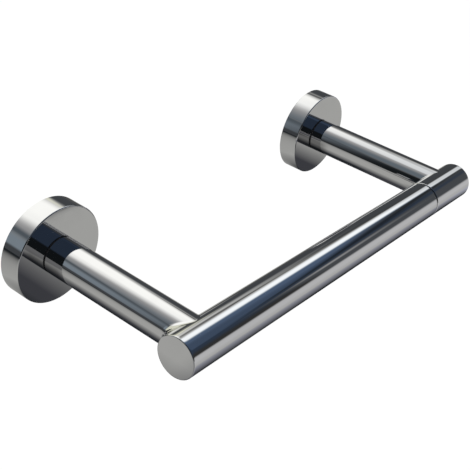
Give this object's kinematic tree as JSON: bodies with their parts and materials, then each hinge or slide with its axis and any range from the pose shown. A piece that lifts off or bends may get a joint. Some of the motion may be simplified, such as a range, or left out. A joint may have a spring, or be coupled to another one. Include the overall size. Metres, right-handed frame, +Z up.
{
  "type": "toilet roll holder",
  "caption": "Wall-mounted toilet roll holder: a round bar on two round posts with disc flanges; the bar and one post lift together to let a roll slide on and off the free end.",
  "frame": {"origin": "centre of the four wall-screw holes, in the plane of the wall, midway between the two posts and at the height of their axes", "axes": "+X along the bar from the hinged left post to the fixed right post, +Y into the wall, +Z up"},
  "size_m": [0.232, 0.0945, 0.044],
  "materials": {
    "polished_chrome": "mirror-polished chrome plate on brass",
    "zinc_plated_steel": "pressed steel, zinc plated",
    "stainless_steel": "turned stainless steel",
    "spring_steel": "oiled spring steel",
    "turned_brass": "turned, unplated",
    "white_acetal": "moulded, satin",
    "black_nylon": "moulded, satin"
  },
  "bodies": {
    "wall_set": {"left_wall_plate": "zinc_plated_steel", "right_wall_plate": "zinc_plated_steel", "left_flange": "polished_chrome", "right_flange": "polished_chrome", "left_grub_screw": "stainless_steel", "right_grub_screw": "stainless_steel", "pivot_bush": "white_acetal", "thrust_washer": "white_acetal", "right_seat_washer": "black_nylon", "right_post_plug": "turned_brass", "right_post": "polished_chrome", "right_post_screw": "stainless_steel", "right_lock_washer": "spring_steel", "locating_pin": "stainless_steel", "head_tube": "polished_chrome", "head_cap": "polished_chrome", "head_plug": "turned_brass", "rest_pin": "stainless_steel"},
    "arm": {"disc_spring": "spring_steel", "pivot_bolt": "stainless_steel", "stop_pin": "stainless_steel", "left_seat_washer": "black_nylon", "left_post_plug": "turned_brass", "left_post": "polished_chrome", "bar_tube": "polished_chrome", "bar_cap": "polished_chrome", "bar_end_plug": "turned_brass"}
  },
  "joints": [
    {"name": "arm_lift", "type": "hinge", "parent": "wall_set", "child": "arm", "pos_m": [-0.094, 0, 0], "axis": [0, -1, 0], "range_deg": [0, 90]}
  ]
}
